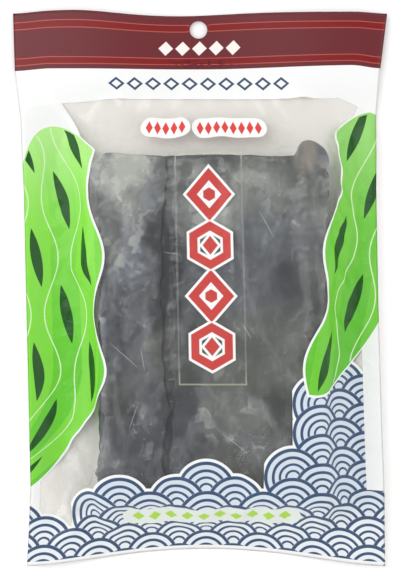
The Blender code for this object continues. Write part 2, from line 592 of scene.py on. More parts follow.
# %% Kelp finish
DEEP_COLOURS = (0.016, 0.018, 0.024, 1), (0.020, 0.022, 0.019, 1)
PALE_COLOURS = (0.200, 0.212, 0.240, 1), (0.216, 0.224, 0.212, 1)
CRUST_COLOUR = (0.43, 0.44, 0.40, 1)
FLECK_COLOUR = (0.36, 0.37, 0.37, 1)
BROWN_COLOUR = (0.250, 0.228, 0.198, 1)
BROWN_SPOT, BROWN_FULL = ((47.0, 61.0), (9.0, 15.0)), 0.6
BROWN_BETWEEN, BROWN_ON_PATCHES = 0.55, 0.4
CAST_NOISE, CAST_RANGE = (17.0, 2.0), (0.5, 0.72)
PATCH_CAST, SCRAP_CAST = 0.14, 0.06
FLECK_NOISE, FLECK_RANGE, FLECK_SHARE = (900.0, 1.0, 0.4), (0.74, 0.78), 0.4
PATCH_RELIEF, SCRAP_RELIEF, STREAK_RELIEF, GRAIN_RELIEF = 0.5, 0.25, 0.3, 0.06
BARE_ROUGHNESS, BLOOM_ROUGHNESS, KELP_GLOSS = 0.5, 0.25, 0.3
KELP_BUMP = {"strength": 0.4, "distance": 0.6 * MM}


def kelp_colour(paint, where, patches, tints, bloom, crust):
    """Kelp and bloom in two casts each, the crust over them, brown at one end, and pale flecks."""
    cast = paint.noise(where, *CAST_NOISE) + tints[0] * PATCH_CAST + tints[1] * SCRAP_CAST
    olive = cast.between(*CAST_RANGE)
    veil = paint.blend(crust, paint.blend(olive, *PALE_COLOURS), CRUST_COLOUR)
    colour = paint.blend(bloom, paint.blend(olive, *DEEP_COLOURS), veil)
    brown = soft_spot(paint, where, *BROWN_SPOT).between(0.0, BROWN_FULL)
    brown = brown * (patches * BROWN_ON_PATCHES + BROWN_BETWEEN)
    flecks = paint.noise(where, *FLECK_NOISE).between(*FLECK_RANGE) * FLECK_SHARE
    return paint.blend(flecks, paint.blend(brown, colour, BROWN_COLOUR), FLECK_COLOUR)


def kelp_finish():
    """The patterns above, as the colour, the roughness and the relief of one material."""
    paint = new_paint("dried_kelp")
    where = paint.node("TexCoord", out="Object")
    pushed = pushed_about(paint, where)
    patches, patch_tint = soft_cells(paint, pushed, *PATCHES)
    scraps, scrap_tint = soft_cells(paint, pushed, *SCRAPS)
    streaks = long_noise(paint, where, *STREAKS)
    grain = long_noise(paint, where, *GRAIN)
    bloom, crust = bloom_and_crust(paint, where, pushed, patches, scraps, streaks)
    relief = patches * PATCH_RELIEF + scraps * SCRAP_RELIEF
    relief = relief + streaks * STREAK_RELIEF + grain * GRAIN_RELIEF
    sockets = {
        "Base Color": kelp_colour(paint, where, patches, (patch_tint, scrap_tint), bloom, crust),
        "Roughness": bloom * BLOOM_ROUGHNESS + BARE_ROUGHNESS,
        "Specular IOR Level": KELP_GLOSS,
        "Normal": paint.bumped(relief, **KELP_BUMP),
    }
    return paint.finish(paint.node("BsdfPrincipled", {}, sockets))


dried_kelp = kelp_finish()
for blade in blades:
    piece = blade_shell(blade, dried_kelp)
    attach(piece, "root")

# %% [markdown]
# ## The film's shape
#
# The pouch is two flat panels of film joined all round. Filled, it draws in: its sides
# and its bottom edge come closer, and the front panel has to bulge over the stack,
# which leaves folds running out from the stack's corners. A height field could fake
# that, and Blender's Cloth could simulate it, but a plain grid of points joined by
# springs, relaxed with numpy, gives the same folds in seconds and on a tidy grid.
#
# `footprint` is where each point of the flat film ends up in plan. The sides follow the
# outline, the bottom edge is drawn up in its middle, and the header's edge dips and
# humps where the film curls.

# %% The bag's outline
COLUMNS, ROWS = 138, 204
BAG_LENGTH = 253 * MM
OUTLINE = np.array([
    # y, half width and sideways shift, from the bottom up
    (-126.5, 81.7, 2.8),
    (-90.0, 80.6, 3.4),
    (-60.0, 80.4, 2.5),
    (-5.0, 80.2, 1.0),
    (45.0, 80.3, 0.0),
    (78.0, 81.3, -0.8),
    (100.0, 83.4, -1.3),
    (126.5, 85.5, 0.0),
]) * MM
BOTTOM_DRAW_IN, DRAW_IN_REACH = 7.4 * MM, 0.30
TOP_EDGE_WAVES = (
    # height, place and half width, and the share of the length at which it starts
    (-1.9 * MM, -12 * MM, 30 * MM, 0.86),
    (1.0 * MM, -56 * MM, 18 * MM, 0.92),
)
# How far a corner or a side comes down, and the share across from which it does.
CORNER_DROP, CORNER_FROM = 0.4 * MM, 0.8
DROOP_LEFT, DROOP_LEFT_FROM = 1.1 * MM, 0.80
DROOP_RIGHT, DROOP_RIGHT_FROM = 1.5 * MM, 0.84
# Shares of the length at which the droop starts and the header starts, and how much of
# the droop is gone at the top edge.
DROOP_START, HEADER_START, DROOP_GONE = 0.78, 0.90, 0.7


def footprint(across, along):
    """Plan position of the point at across (-1 to 1) and along (0 to 1) of the film.

    The bottom rises as cos(across pi / 2)^1.5, each wave of the top edge is a bell,
    height exp(-((x - place) / half width)^2), and the header's lower corners droop.
    """
    y = BAG_LENGTH * (along - 0.5)
    half = np.interp(y, OUTLINE[:, 0], OUTLINE[:, 1])
    x = np.interp(y, OUTLINE[:, 0], OUTLINE[:, 2]) + half * across
    near_bottom = 1 - ease(along, 0.0, DRAW_IN_REACH)
    y = y + BOTTOM_DRAW_IN * np.cos(across * math.pi / 2) ** 1.5 * near_bottom
    for height, place, width, begins in TOP_EDGE_WAVES:
        y = y + height * np.exp(-(((x - place) / width) ** 2)) * ease(along, begins, 1.0)
    in_header = ease(along, HEADER_START, 1.0)
    y = y - CORNER_DROP * ease(np.abs(across), CORNER_FROM, 1.0) * in_header
    lower_header = ease(along, DROOP_START, HEADER_START) * (1 - in_header * DROOP_GONE)
    droop = DROOP_LEFT * ease(-across, DROOP_LEFT_FROM, 1.0)
    droop = droop + DROOP_RIGHT * ease(across, DROOP_RIGHT_FROM, 1.0)
    return x, y - droop * lower_header


across, along = np.meshgrid(np.linspace(-1, 1, COLUMNS), np.linspace(0, 1, ROWS))
plan_x, plan_y = footprint(across, along)
plan_y = plan_y - (plan_y.max() + plan_y.min()) / 2
print("film outline in mm:", np.round([np.ptp(plan_x) / MM, np.ptp(plan_y) / MM], 1))

# %% [markdown]
# The back panel is flat under the stack. It lifts at the side folds and the two bottom
# corners, and the header, where both films are sealed together, curls a little.

# %% The back panel's height
HEADER_FOOT, BOTTOM_SEAL = 88 * MM, -118 * MM
SEAL_BLEND, SEAL_RIM = 30 * MM, 8 * MM
# How high the sides and the bottom corners lift, and the share across from which they do.
SIDE_LIFT, SIDE_LIFT_FROM = 5 * MM, 0.78
CORNER_LIFT, CORNER_LIFT_FROM = 4 * MM, 0.35
HEADER_LIFT, HEADER_CURL = 0.7 * MM, 2.4 * MM
CURL_CREST, CURL_PITCH = -50 * MM, 118 * MM
CURL_START, CURL_FULL = HEADER_FOOT - 18 * MM, HEADER_FOOT + 10 * MM


def lower_film(across, along, x):
    """Height of the back panel: lifts that ease in towards the sides, the header and the seal."""
    y = BAG_LENGTH * (along - 0.5)
    over_seal = ease(y, BOTTOM_SEAL, BOTTOM_SEAL + SEAL_BLEND)
    in_pouch = over_seal * (1 - ease(y, HEADER_FOOT - SEAL_BLEND, HEADER_FOOT))
    side = SIDE_LIFT * ease(np.abs(across), SIDE_LIFT_FROM, 1.0) ** 1.5 * in_pouch
    curl = 0.5 + 0.5 * np.cos(2 * math.pi * (x - CURL_CREST) / CURL_PITCH)
    header = ease(y, CURL_START, CURL_FULL) * (HEADER_LIFT + HEADER_CURL * curl)
    in_seal = 1 - ease(y, BOTTOM_SEAL - SEAL_RIM, BOTTOM_SEAL + SEAL_BLEND)
    corner = CORNER_LIFT * ease(np.abs(across), CORNER_LIFT_FROM, 1.0) * in_seal
    return side + header + corner


back_z = lower_film(across, along, plan_x)
print("back panel's height in mm, from and to:", back_z.min() / MM, round(back_z.max() / MM, 2))

# %% [markdown]
# The film lies on the blades, so their top surface becomes a map of heights on a fine
# grid: at each place the highest blade that covers it.

# %% Heights of the stack
MAP_CELL, MAP_HALF = 0.6 * MM, (90 * MM, 130 * MM)
map_x, map_y = (np.arange(-half, half, MAP_CELL) for half in MAP_HALF)
wide, tall = np.meshgrid(map_x, map_y)


def highest_blade(x, y):
    """Top of the highest blade that covers x, y, and 0 where there is none."""
    highest = np.zeros(x.shape)
    for blade in blades:
        top = middle_height(blade, x, y) + BLADE_THICKNESS / 2
        highest = np.where(blade.covers(x, y), np.maximum(highest, top), highest)
    return highest


stack_top = highest_blade(wide, tall)
print("stack height in mm:", round(stack_top.max() / MM, 2))

# %% [markdown]
# Film can't follow a sharp edge. Its surface is at least as round as the tightest bend
# that it takes, so a ball of that radius is rolled over the map, and the film lies on
# what the ball leaves. `height_under` reads the map between its grid points.

# %% What the film lies on
FILM_BEND = 1.8 * MM


def rolled_over(heights, radius):
    """The map as a ball rolls over it.

    At each offset within the radius the map is shifted and lowered by the ball's drop,
    radius - sqrt(radius^2 - offset^2), and the highest of all the shifted maps counts.
    """
    reach = int(radius / MAP_CELL)
    top = heights.copy()
    for i in range(-reach, reach + 1):
        for j in range(-reach, reach + 1):
            offset = math.hypot(i, j) * MAP_CELL
            if offset < radius:
                drop = radius - math.sqrt(radius**2 - offset**2)
                top = np.maximum(top, np.roll(heights, (i, j), axis=(0, 1)) - drop)
    return top


def height_under(x, y):
    """Height of the stack at x, y, weighted between the four nearest points of the map."""
    column, row = (x - map_x[0]) / MAP_CELL, (y - map_y[0]) / MAP_CELL
    i = np.clip(column.astype(int), 0, len(map_x) - 2)
    j = np.clip(row.astype(int), 0, len(map_y) - 2)
    p, q = column - i, row - j
    near = stack_top[j, i] * (1 - p) + stack_top[j, i + 1] * p
    far = stack_top[j + 1, i] * (1 - p) + stack_top[j + 1, i + 1] * p
    return near * (1 - q) + far * q


before = (stack_top > 0).mean()
stack_top = rolled_over(stack_top, FILM_BEND)
after = (stack_top > 0).mean()
print("share of the map with a height, before and after:", round(before, 3), round(after, 3))

# %% [markdown]
# ## Springs
#
# Each point is joined to its neighbours by links that want their flat length, along the
# film, across it and on the diagonals. Links to the second and the fourth neighbour only
# push: they are the film's stiffness against bending. The flat panel is a little larger
# than the bag's outline, and that slack is what makes folds. Towards the header, the
# sides and the bottom the links want the length that they start with instead, which
# keeps those borders smooth.
#
# Links that share a point must not be moved in one array step, because one move would
# overwrite the other. So every direction and reach is split into two families in turn.

# %% Families of links
FILM_WIDTH, FILM_LENGTH = 174.5 * MM, 256.0 * MM
# How many points a link reaches over, its stiffness, and whether it only pushes.
STRAIGHT_LINKS = ((1, 1.0, False), (2, 0.25, True), (4, 0.15, True))
DIAGONAL_STIFFNESS = 0.35


def in_turn(count, reach, turn):
    """The numbers below count - reach whose block of this reach is even or odd."""
    numbers = np.arange(count - reach)
    return numbers[numbers // reach % 2 == turn]


def link_families(flat_shape, slack):
    """(first points, second points, wanted lengths, stiffness, only pushes) of every family.

    The wanted length is the present one plus slack times what the flat one has more.
    """
    du, dv = FILM_WIDTH / (COLUMNS - 1), FILM_LENGTH / (ROWS - 1)
    families = []

    def add(first, second, flat, stiffness, pushes):
        now = np.linalg.norm(flat_shape[second] - flat_shape[first], axis=-1)
        share = (slack[first] + slack[second]) / 2
        wanted = (now + (flat - now) * share)[..., None]
        families.append((first, second, wanted, stiffness, pushes))

    every = slice(None)
    for reach, stiffness, pushes in STRAIGHT_LINKS:
        for turn in range(2):
            columns, rows = in_turn(COLUMNS, reach, turn), in_turn(ROWS, reach, turn)
            add((every, columns), (every, columns + reach), reach * du, stiffness, pushes)
            add((rows, every), (rows + reach, every), reach * dv, stiffness, pushes)
    left, right = slice(0, COLUMNS - 1), slice(1, COLUMNS)
    for turn in range(2):
        rows = in_turn(ROWS, 1, turn)
        add((rows, left), (rows + 1, right), math.hypot(du, dv), DIAGONAL_STIFFNESS, False)
        add((rows, right), (rows + 1, left), math.hypot(du, dv), DIAGONAL_STIFFNESS, False)
    return families


print("grid cell in mm:", round(FILM_WIDTH / (COLUMNS - 1) / MM, 3), "wide")

# %% [markdown]
# Relaxing: each pass moves both ends of every link by half of what is missing or too
# much, times its stiffness, and then any point that sank into the kelp or the back panel
# is lifted onto it. From one step to the next the points keep part of their speed, which
# spreads a move over the panel sooner. At the end `smoothed` takes out ripples as small
# as the grid.

# %% Relaxing and smoothing
STEPS, PASSES = (150), 10
KEPT_SPEED = 0.6
PULL_DOWN = 0.016 * MM
FILM_GAP = 0.3 * MM
TINY = 1e-9


def relax(points, held, lowest, families):
    """Moves the points that aren't held until the film lies on what is under it."""
    free = (~held).astype(float)[..., None]
    speed = np.zeros_like(points)
    for _ in range(STEPS):
        moved = points + speed
        moved[..., 2] -= PULL_DOWN * free[..., 0]
        for _ in range(PASSES):
            for first, second, lengths, stiffness, pushes in families:
                gap = moved[second] - moved[first]
                missing = 1.0 - lengths / (np.sqrt((gap * gap).sum(axis=-1, keepdims=True)) + TINY)
                if pushes:
                    missing = np.minimum(missing, 0.0)
                ends = np.maximum(free[first] + free[second], 1.0)
                pull = stiffness * missing * gap / ends
                moved[first] += pull * free[first]
                moved[second] -= pull * free[second]
            floor = np.maximum(height_under(moved[..., 0], moved[..., 1]), lowest) + FILM_GAP
            moved[..., 2] = np.where(held, moved[..., 2], np.maximum(moved[..., 2], floor))
        speed = (moved - points) * KEPT_SPEED
        points = moved
    print("last step's largest move in mm:", round(float(np.abs(speed).max() / MM / KEPT_SPEED), 3))
    return points


def smoothed(points, held):
    """Each free point moves half of the way to the average of its four neighbours, twice."""
    for _ in range(2):
        average = points.copy()
        above_and_below = points[:-2, 1:-1] + points[2:, 1:-1]
        average[1:-1, 1:-1] = (above_and_below + points[1:-1, :-2] + points[1:-1, 2:]) / 4
        points = np.where(held[..., None], points, (points + average) / 2)
    return points


print("relaxing in", STEPS, "steps of", PASSES, "passes")

# %% [markdown]
# The front panel starts as a loft, blown up well over the stack and shaken by a fraction
# of a millimetre, so that folds form where the film has too much length and not along
# the grid. Its border and its header are held. Smoothing lets it down a little at the
# stack's edges, so its height is then stretched by a small share, which keeps it clear
# of every blade.

# %% Relax the front panel
LOFT, LOFT_END = 14 * MM, 0.86
SHAKE, SHAKE_SEED = 0.2 * MM, 3
ABOUT_HALF_WIDTH = 80 * MM
HELD_FROM = 100 * MM
# Widths over which the slack fades in: from the sides, the header and the bottom seal.
SMOOTH_SIDE = 13 * MM
SMOOTH_HEADER, SMOOTH_FOOT = 3 * SMOOTH_SIDE, 2.2 * SMOOTH_SIDE
FOOT_START = 5 * MM
HEIGHT_STRETCH = 1.015
border = np.zeros(across.shape, bool)
border[[0, -1], :] = True
border[:, [0, -1]] = True
in_header = plan_y > HELD_FROM
start = np.stack([plan_x, plan_y, back_z + np.where(border, 0.0, FILM_GAP)], axis=-1)
slack = ease((1 - np.abs(across)) * ABOUT_HALF_WIDTH, 0.0, SMOOTH_SIDE)
slack *= ease(HELD_FROM - plan_y, 0.0, SMOOTH_HEADER)
slack *= ease(along * BAG_LENGTH, FOOT_START, FOOT_START + SMOOTH_FOOT)
families = link_families(start, slack)
along_loft = np.sin(math.pi * np.clip(along / LOFT_END, 0, 1)) ** 0.5
loft = LOFT * (along_loft * np.cos(across * math.pi / 2) ** 0.5)
shaken = np.random.default_rng(SHAKE_SEED).normal(0.0, SHAKE, across.shape)
start[..., 2] += np.where(border | in_header, 0.0, loft + shaken)
front = relax(start, border | in_header, back_z, families)
front = smoothed(front, border | in_header)
front[..., 2] = back_z + (front[..., 2] - back_z) * HEIGHT_STRETCH
under = highest_blade(front[..., 0], front[..., 1])
clearance = (front[..., 2] - under)[under > 0.0]
print("film's least height over the kelp in mm:", round(clearance.min() / MM, 2))
print("front panel's height in mm:", round(front[..., 2].max() / MM, 2))

# %% [markdown]
# ## The print
#
# The print is on the front panel, and its header stripes are on the back as well. It is
# drawn in the flat film's own millimetres, u across and v along, through a UV map, so
# that it follows every fold. Fields that are not printed stay clear.
#
# A shape is given by the distance to its edge, below 0 inside it. The larger of two
# distances is what both shapes share, the smaller one is both together, and adding to a
# distance draws the edge in.

# %% The print's shapes
HEXAGON_SLANT = math.sqrt(3) / 2


def apart(x, y):
    """Length of the vector x, y."""
    return (x * x + y * y).power(0.5)


def lozenge(x, y, width, height):
    """Distance to a lozenge of these half sizes: |x|/width + |y|/height - 1, in millimetres."""
    return (abs(x) / width + abs(y) / height - 1.0) * (width * height / math.hypot(width, height))


def hexagon(x, y, radius):
    """Distance to a hexagon with upright sides: the larger of |x| and its slanted coordinate."""
    return abs(x).most(abs(x) * 0.5 + abs(y) * HEXAGON_SLANT) - radius


def pill(x, y, half_width, half_height):
    """Distance to a bar with round ends."""
    past_straight = (abs(x) - (half_width - half_height)).most(0.0)
    return apart(past_straight, y) - half_height


def repeat(x, pitch):
    """(number of the nearest repeat, distance along x from it)."""
    number = (x / pitch + 0.5).floor()
    return number, x - number * pitch


def odd(number):
    """1 for an odd whole number and 0 for an even one."""
    half = number * 0.5
    return (half - half.floor()) * 2.0


def joined(masks):
    """1 where any of the masks is."""
    total = masks[0]
    for mask in masks[1:]:
        total = total.most(mask)
    return total


print("a hexagon's sides are", round(math.degrees(math.asin(HEXAGON_SLANT))), "degrees apart")

# %% [markdown]
# Ink goes on in layers, as on a printing machine: each layer has a mask, a colour and how
# much of the clear film it covers, and a later layer lies over the earlier ones. The
# colour ends up in one shader, and the cover is the share of it against clear film.

# %% Ink
WHITE = (0.93, 0.94, 0.93, 1.0)
# The softness of an edge in millimetres, where it is softer than a crisp one.
SOFT_EDGE = 0.4


class Print:
    """Ink laid on film, layer over layer: its colour, and how much it covers."""

    def __init__(self, paint, colour):
        self.paint = paint
        self.colour = colour
        self.cover = 0.0

    def lay(self, mask, colour, cover):
        self.colour = self.paint.blend(mask, self.colour, colour)
        self.cover = mask * (cover - self.cover) + self.cover


print("white ink reflects", WHITE[0], "of red light")

# %% [markdown]
# ## The borders
#
# Rising steam is an old pattern of wavy lines. Line k stands at k pitches from the
# window's side and waves by A sin v, with the sign changing from line to line, so the
# space between two lines swells where its neighbours close. Each swelling holds a dark
# lens, leaning a little. The first line is the border's wavy inner side, and each end of
# the border draws back as a parabola.

# %% A border of rising steam
STEAM_PITCH, STEAM_SWING, STEAM_WAVE = 13.0, 3.4, 52.0
STEAM_LINE = 0.28
LENS_WIDTH, LENS_LENGTH, LENS_SLANT = 2.5, 13.5, 0.16
END_ROUNDING = 0.04
OUTER_EDGE, LINE_INSET, LENS_INSET = 1.1, 0.8, 1.0
COLUMN_GREENS = screen(128, 218, 62), screen(104, 203, 51)
LENS_GREEN, LINE_GREEN = screen(24, 84, 24), screen(222, 250, 200)
SHADED_GREEN = screen(88, 178, 48)
# Where along the bag a paler green comes in, how much of it, and its colour.
UPPER_GREENS = (
    ((-45.0, 60.0), 0.6, screen(154, 236, 92)),
    ((25.0, 82.0), 0.45, screen(222, 250, 190)),
)


def steam_lens(outward, v, phase):
    """(distance to the nearest lens, 1 in every second column of them).

    In column n the lenses are a wave apart, and half a wave out of step with the next
    column's. A lens is as wide as the parabola 1 - (v / length)^2.
    """
    column = (outward / STEAM_PITCH).floor()
    second = odd(column)
    widest = second * (STEAM_WAVE / 2) - STEAM_WAVE / 4 - phase * STEAM_WAVE / (2 * math.pi)
    _, from_widest = repeat(v - widest, STEAM_WAVE)
    aside = outward - (column + 0.5) * STEAM_PITCH - from_widest * LENS_SLANT
    share = from_widest / LENS_LENGTH
    return abs(aside) - (1.0 - share * share) * LENS_WIDTH, second


def steam_green(paint, second, v, shade):
    """Two greens column by column, paler towards the top, and darker by the shade."""
    green = paint.blend(second, *COLUMN_GREENS)
    for reach, share, paler in UPPER_GREENS:
        green = paint.blend(v.between(*reach) * share, green, paler)
    return paint.blend(shade, green, SHADED_GREEN)


def steam_border(ink, outward, v, low_end, high_end, phase, shade):
    """One border: outward is the distance from the window's side.

    Each end is (how far out it reaches furthest, and v there).
    """
    sway = (v * (2 * math.pi / STEAM_WAVE) + phase).sine() * STEAM_SWING
    line, beside = repeat(outward, STEAM_PITCH)
    to_line = abs(beside - sway * (1.0 - odd(line) * 2.0))
    lens, second = steam_lens(outward, v, phase)
    from_low, from_high = outward - low_end[0], outward - high_end[0]
    below = low_end[1] - v + from_low * from_low * END_ROUNDING
    above = v - high_end[1] + from_high * from_high * END_ROUNDING
    outside = (sway - outward).most(below).most(above)
    ink.lay((outside - OUTER_EDGE).inside(), WHITE, cover=0.95)
    ink.lay(outside.inside(), steam_green(ink.paint, second, v, shade), cover=0.96)
    lines = (to_line - STEAM_LINE).inside() * (outside + LINE_INSET).inside()
    ink.lay(lines, LINE_GREEN, cover=0.9)
    ink.lay(lens.inside() * (outside + LENS_INSET).inside(), LENS_GREEN, cover=0.96)


print("space between two lines in mm:", [STEAM_PITCH + swing * STEAM_SWING for swing in (-2, 2)])

# %% [markdown]
# The left border's side bends away above and below its middle, as a parabola each way,
# and the right one's side leans.

# %% Both borders
# Each bend is the v at which it begins and its share of the square of the way past it.
LEFT_SIDE, LOWER_BEND, UPPER_BEND = -47.5, (-35.0, 0.0135), (35.0, 0.006)
RIGHT_SIDE, RIGHT_LEAN = 55.5, 0.2
LEFT_ENDS = {"low_end": (15.0, -130.0), "high_end": (14.0, 74.0), "phase": 3.0, "shade": 0.0}
RIGHT_ENDS = {"low_end": (4.0, -48.0), "high_end": (12.0, 81.0), "phase": 2.4, "shade": 0.45}


def both_borders(ink, u, v):
    """The left border on its bent side, and the right one on its leaning side."""
    below, above = (LOWER_BEND[0] - v).most(0.0), (v - UPPER_BEND[0]).most(0.0)
    bent = below * below * LOWER_BEND[1] + above * above * UPPER_BEND[1]
    steam_border(ink, LEFT_SIDE - u - bent, v, **LEFT_ENDS)
    steam_border(ink, u - RIGHT_SIDE - v * RIGHT_LEAN, v, **RIGHT_ENDS)


print("the right border leans by", round(math.degrees(math.atan(RIGHT_LEAN)), 1), "degrees")

# %% [markdown]
# ## The window's frame
#
# The clear window has a white frame: a band under the header, shoulders that cut off the
# window's upper corners aslant, and narrow margins down both sides. On the left a
# second, lower shoulder stands a little nearer to the side.

# %% White bands and frame
HEADER_EDGE, BAND_EDGE = 100.6, 87.0
BAND_DROPS = ((-38.0, 0.09), (67.0, 0.4))  # where the band's edge falls away, and how steeply
SHOULDER_LEFT, LEFT_SLANT, LEFT_FOOT = -66.0, 0.55, 64.0
SHOULDER_RIGHT, RIGHT_SLANT, RIGHT_FOOT = 77.0, 0.3, 58.0
STEP_LEFT, STEP_FOOT = -70.0, 38.0
MARGIN_LEFT, MARGIN_RIGHT = -80.5, 77.0
SEAL_EDGE = -124.6


def band_edge(u):
    """Lower edge of the white band: level, and lower past a place at each side."""
    (left, left_drop), (right, right_drop) = BAND_DROPS
    return BAND_EDGE - (left - u).most(0.0) * left_drop - (u - right).most(0.0) * right_drop


def frame_of_window(ink, u, v):
    """White shoulders and margins: each wire says how far inside the window the place is."""
    below = (BAND_EDGE - v).most(0.0)
    left = (u - SHOULDER_LEFT - below * LEFT_SLANT).most(LEFT_FOOT - v)
    left = left.least((u - STEP_LEFT).most(STEP_FOOT - v))
    right = (SHOULDER_RIGHT - below * RIGHT_SLANT - u).most(RIGHT_FOOT - v)
    margins = (u - MARGIN_LEFT).least(MARGIN_RIGHT - u)
    ink.lay(left.least(right).least(margins).inside(SOFT_EDGE), WHITE, cover=0.93)


def white_bands(ink, u, v):
    """The band under the header, and the edge of the bottom seal."""
    ink.lay((band_edge(u) - v).inside(), WHITE, cover=0.97)
    ink.lay((v - SEAL_EDGE).inside(), WHITE, cover=0.95)


print("window in mm of flat film:", MARGIN_RIGHT - MARGIN_LEFT, "by", BAND_EDGE - SEAL_EDGE)

# %% [markdown]
# ## The sea
#
# The foot of the window has the old pattern of sea waves: rows of circles, each row half
# a radius above the last and shifted by one radius, with lower rows in front. At a
# point, the rows are tried from the lowest that can reach it, and the first circle that
# covers it gives the distance for the rings. A circle is there only if its centre lies
# below the field's upper edge, which swells and climbs to the right.

# %% The sea's scales
SCALE_RADIUS, SCALE_EDGE = 13.0, 1.3
ROW_STEP, ROWS_TRIED = SCALE_RADIUS / 2, 4
FAR_AWAY = 100.0
SWELL_HEIGHT, SWELL_PITCH, SWELL_CREST = 5.0, 48.0, 7.0
SEA_LEVEL = -115.0
SEA_CLIMBS = ((-76.0, -48.0, 22.0), (24.0, 68.0, 54.0))


def sea_edge(u):
    """Highest centre of a scale: a cosine swell, and two smooth climbs (start, end, height)."""
    swell = ((u - SWELL_CREST) * (2 * math.pi / SWELL_PITCH) + math.pi / 2).sine() * SWELL_HEIGHT
    climbs = sum(u.between(start, end) * height for start, end, height in SEA_CLIMBS)
    return swell + climbs + SEA_LEVEL


def sea_scales(u, v):
    """(distance to the field, distance from the centre of the scale in front)."""
    first_row = ((v - (SCALE_RADIUS + SCALE_EDGE)) / ROW_STEP).floor() + 1.0
    field, chosen, still_open = FAR_AWAY, 0.0, 1.0
    for step in range(ROWS_TRIED):
        row = first_row + float(step)
        centre_v = row * ROW_STEP
        _, aside = repeat(u - odd(row) * SCALE_RADIUS, 2 * SCALE_RADIUS)
        from_centre = apart(aside, v - centre_v)
        missing = 1.0 - (centre_v - sea_edge(u - aside)).inside()
        outside = from_centre - SCALE_RADIUS + missing * FAR_AWAY
        covers = outside.inside()
        field = outside.least(field)
        chosen = from_centre * covers * still_open + chosen
        still_open = (1.0 - covers) * still_open
    return field, chosen


print("scales side by side:", round((MARGIN_RIGHT - MARGIN_LEFT) / (2 * SCALE_RADIUS), 1))

# %% [markdown]
# Each scale has four rings round its centre, on a pale ground that is whiter near the
# foot. The outermost scales have a white edge towards the kelp.

# %% The sea's print
RINGS = ((12.2, 0.75), (8.9, 0.65), (5.9, 0.55), (3.1, 0.5))  # radius and half width
RIGHT_BANK = -92.0
RING_NAVY, SHALLOW, FOAM = screen(62, 84, 116), screen(222, 232, 243), screen(242, 247, 252)
FOAM_REACH = (-88.0, -112.0)


def sea(ink, u, v):
    """White edge, ground and rings. Above the right bank the field stops at the margin."""
    field, from_centre = sea_scales(u, v)
    field = field.most((u - MARGIN_RIGHT).least(v - RIGHT_BANK))
    rings = joined([(abs(from_centre - radius) - half).inside() for radius, half in RINGS])
    ink.lay((field - SCALE_EDGE).inside(), WHITE, cover=0.93)
    ground = ink.paint.blend(v.between(*FOAM_REACH), SHALLOW, FOAM)
    ink.lay(field.inside(), ground, cover=0.88)
    ink.lay(rings * field.inside(), RING_NAVY, cover=0.95)


print("rings to a scale:", len(RINGS))

# %% [markdown]
# ## The header
#
# A maroon field with two pairs of pin stripes. The film was printed a little askew, so
# towards the right the field's lower edge and the lower stripes stand a little higher.
# Below the hang hole, dark flecks show in the lower pair of stripes.

# %% Header
PIN_STRIPES = ((122.2, 119.0), (106.0, 102.9))
STRIPE_HALF = 0.2
SKEW, SKEW_REACH = 0.075, (5.0, 80.0)
MAROON, STRIPE_DARK, STRIPE_PALE = screen(108, 39, 44), screen(126, 26, 26), screen(192, 84, 80)
# The flecks' middle, half size, softness at both ends, and marks to the millimetre.
FLECKS_U, FLECKS_V = (2.0, 14.0, 14.0, 0.32), (103.4, 2.0, 1.6, 1.3)
FLECKS_NOISE, FLECKS_RANGE, FLECKS_SHARE = (1.0, 2.0, 0.6), (0.48, 0.56), 0.9
FLECKS_MAROON = screen(86, 12, 26)


def header_dark_flecks(paint, u, v):
    """A noise, four times longer than high, near one place of the header."""
    near, marks = [], []
    for way, (middle, half, softness, scale) in ((u, FLECKS_U), (v, FLECKS_V)):
        near.append((abs(way - middle) - half).inside(softness))
        marks.append(way * scale)
    place = paint.node("CombineXYZ", {}, {"X": marks[0], "Y": marks[1]})
    flecks = paint.noise(place, *FLECKS_NOISE).between(*FLECKS_RANGE)
    return flecks * near[0] * near[1] * FLECKS_SHARE


def header(ink, u, v):
    """Maroon field and pin stripes. They are drawn at a lowered v, which raises them."""
    from_top = (PIN_STRIPES[0][0] - v).most(0.0)
    v = v - u.between(*SKEW_REACH) * from_top * SKEW
    ink.lay((HEADER_EDGE - v).inside(), MAROON, cover=0.99)
    for upper, lower in PIN_STRIPES:
        strip = abs(v - (upper + lower) / 2) - (upper - lower) / 2
        ink.lay(strip.inside(), STRIPE_DARK, cover=0.99)
        ink.lay((abs(strip) - STRIPE_HALF).inside(), STRIPE_PALE, cover=0.99)
    ink.lay(header_dark_flecks(ink.paint, u, v), FLECKS_MAROON, cover=0.99)


lowest_rise = SKEW * (PIN_STRIPES[0][0] - PIN_STRIPES[1][1]) / (1.0 + SKEW)
print("the lowest stripe stands higher at the right by", round(lowest_rise, 2), "mm")

# %% [markdown]
# ## Ornaments
#
# Small ornaments stand where a pack has its lettering: chains of lozenges, on pale bars
# where they lie over the window, and a column of hexagons and lozenges in turn. All of
# them are repeats of the shapes above.

# %% Chains of lozenges
HEADER_CHAIN = {"centre": (0.5, 110.8), "pitch": 7.8, "count": 5, "half": (3.4, 3.5)}
BAND_CHAIN = {"centre": (0.5, 93.9), "pitch": 8.6, "count": 10, "half": (3.9, 3.0)}
# The middle and the count of each red chain, and how far its bar goes past it.
RED_CHAINS = ((-15.4, 5), (13.9, 8))
RED_CHAIN_V, RED_CHAIN_PITCH, RED_LOZENGE = 73.2, 3.8, (1.6, 3.3)
RED_BAR_PAST, RED_BAR_HALF = 2.0, 5.0
FOOT_CHAIN = {"centre": (2.5, -105.6), "pitch": 7.6, "count": 10, "half": (2.9, 2.9)}
FOOT_TILT, FOOT_BAR = 0.012, (41.5, 5.2)
OUTLINE_HALF = 0.5
HEADER_WHITE, BAND_NAVY, CHAIN_RED = screen(250, 240, 236), screen(62, 80, 112), screen(222, 60, 56)
FOOT_PALE, FOOT_GREEN = screen(236, 244, 236), screen(176, 220, 70)


